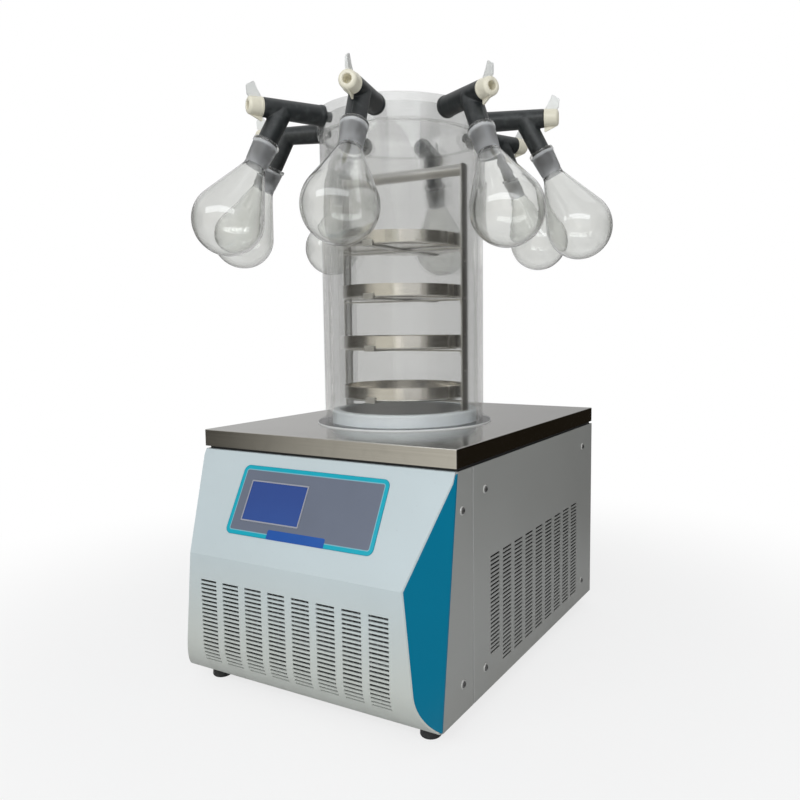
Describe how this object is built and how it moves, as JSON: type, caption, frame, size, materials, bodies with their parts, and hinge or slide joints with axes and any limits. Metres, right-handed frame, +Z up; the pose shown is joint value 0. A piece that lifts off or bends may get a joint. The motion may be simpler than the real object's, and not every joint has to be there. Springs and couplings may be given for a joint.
{
  "type": "benchtop freeze dryer",
  "caption": "Benchtop freeze dryer: refrigerated cabinet with a sloping control panel, clear drying chamber over a cold trap, tray rack, and a ring of valve ports carrying glass flasks.",
  "frame": {"origin": "on the floor under the axis of the drying chamber", "axes": "+Z up along the chamber's axis, +Y towards the rear panel, control panel facing -Y, +X to the right of someone facing the panel"},
  "size_m": [0.6622, 0.6622, 0.9075],
  "materials": {
    "cabinet_paint": "fine textured powder coat, warm grey",
    "bezel_paint": "satin powder coat, pale blue-grey",
    "cheek_paint": "satin powder coat, teal",
    "frame_paint": "black primer",
    "galvanised": "zinc-plated sheet",
    "deck_steel": "brushed stainless sheet",
    "bright_steel": "polished stainless",
    "satin_steel": "satin stainless",
    "screw_steel": "nickel-plated",
    "black_rubber": "moulded rubber, slightly dusty",
    "silicone": "translucent silicone",
    "white_plastic": "machined white plastic",
    "overlay_film": "printed film, turquoise border round a grey field",
    "display_cover": "blue display under a clear cover",
    "circuit_board": "green board",
    "copper": "copper tube",
    "foam": "cast foam",
    "clear_acrylic": "clear cast acrylic, polished edges",
    "flask_glass": "clear blown glass, ground socket",
    "ivory_plastic": "ivory moulding with a translucent wing",
    "compressor_paint": "black enamel",
    "fin_aluminium": "rolled fin stock",
    "black_plastic": "moulded black plastic",
    "nickel_brass": "nickel-plated brass",
    "lever_paint": "blue dipped lever"
  },
  "bodies": {
    "dryer": {"base_pan": "galvanised", "body_frame": "frame_paint", "side_panel_right": "cabinet_paint", "side_panel_left": "cabinet_paint", "rear_panel": "cabinet_paint", "front_bezel": "bezel_paint", "cheek_right": "cheek_paint", "cheek_left": "cheek_paint", "corner_post_right": "cabinet_paint", "corner_post_left": "cabinet_paint", "deck_plate": "deck_steel", "feet": "black_rubber", "panel_screws": "screw_steel", "control_overlay": "overlay_film", "display_window": "display_cover", "control_board": "circuit_board", "cold_trap": "bright_steel", "trap_coil": "copper", "trap_insulation": "foam", "guide_ring": "white_plastic", "chamber_gasket": "silicone", "chamber_tube": "clear_acrylic", "manifold_seal": "silicone", "manifold": "clear_acrylic", "rack_frame": "satin_steel", "shelf_supports": "satin_steel", "compressor": "compressor_paint", "condenser": "fin_aluminium", "fan_shroud": "galvanised", "fan_motor": "galvanised", "vacuum_port": "satin_steel", "drain_pipe": "copper", "drain_valve": "nickel_brass", "power_inlet": "black_plastic", "valve_bodies": "black_rubber", "tray_1": "bright_steel", "tray_2": "bright_steel", "tray_3": "bright_steel", "tray_4": "bright_steel", "flask_1": "flask_glass", "flask_2": "flask_glass", "flask_3": "flask_glass", "flask_4": "flask_glass", "flask_5": "flask_glass", "flask_6": "flask_glass", "flask_7": "flask_glass", "flask_8": "flask_glass"},
    "fan": {"fan_rotor": "black_plastic"},
    "lever": {"drain_lever": "lever_paint"},
    "rocker": {"switch_rocker": "black_plastic"},
    "knob_1": {"valve_knob_1": "ivory_plastic"},
    "knob_2": {"valve_knob_2": "ivory_plastic"},
    "knob_3": {"valve_knob_3": "ivory_plastic"},
    "knob_4": {"valve_knob_4": "ivory_plastic"},
    "knob_5": {"valve_knob_5": "ivory_plastic"},
    "knob_6": {"valve_knob_6": "ivory_plastic"},
    "knob_7": {"valve_knob_7": "ivory_plastic"},
    "knob_8": {"valve_knob_8": "ivory_plastic"}
  },
  "joints": [
    {"name": "knob_1_turn", "type": "hinge", "parent": "dryer", "child": "knob_1", "pos_m": [-0.1137, -0.2051, 0.8725], "axis": [-0.4848, -0.8746, 0], "continuous": true},
    {"name": "knob_2_turn", "type": "hinge", "parent": "dryer", "child": "knob_2", "pos_m": [0.0646, -0.2254, 0.8725], "axis": [0.2756, -0.9613, 0], "continuous": true},
    {"name": "knob_3_turn", "type": "hinge", "parent": "dryer", "child": "knob_3", "pos_m": [0.2051, -0.1137, 0.8725], "axis": [0.8746, -0.4848, 0], "continuous": true},
    {"name": "knob_4_turn", "type": "hinge", "parent": "dryer", "child": "knob_4", "pos_m": [0.2254, 0.0646, 0.8725], "axis": [0.9613, 0.2756, 0], "continuous": true},
    {"name": "knob_5_turn", "type": "hinge", "parent": "dryer", "child": "knob_5", "pos_m": [0.1137, 0.2051, 0.8725], "axis": [0.4848, 0.8746, 0], "continuous": true},
    {"name": "knob_6_turn", "type": "hinge", "parent": "dryer", "child": "knob_6", "pos_m": [-0.0646, 0.2254, 0.8725], "axis": [-0.2756, 0.9613, 0], "continuous": true},
    {"name": "knob_7_turn", "type": "hinge", "parent": "dryer", "child": "knob_7", "pos_m": [-0.2051, 0.1137, 0.8725], "axis": [-0.8746, 0.4848, 0], "continuous": true},
    {"name": "knob_8_turn", "type": "hinge", "parent": "dryer", "child": "knob_8", "pos_m": [-0.2254, -0.0646, 0.8725], "axis": [-0.9613, -0.2756, 0], "continuous": true},
    {"name": "fan_spin", "type": "hinge", "parent": "dryer", "child": "fan", "pos_m": [0, -0.216, 0.1085], "axis": [0, 1, 0], "continuous": true},
    {"name": "drain_lever_turn", "type": "hinge", "parent": "dryer", "child": "lever", "pos_m": [-0.237, 0.302, 0.1343], "axis": [0, 0, 1], "range_deg": [0, 90]},
    {"name": "switch_rock", "type": "hinge", "parent": "dryer", "child": "rocker", "pos_m": [0.165, 0.319, 0.103], "axis": [1, 0, 0], "range_deg": [0, 11]}
  ]
}
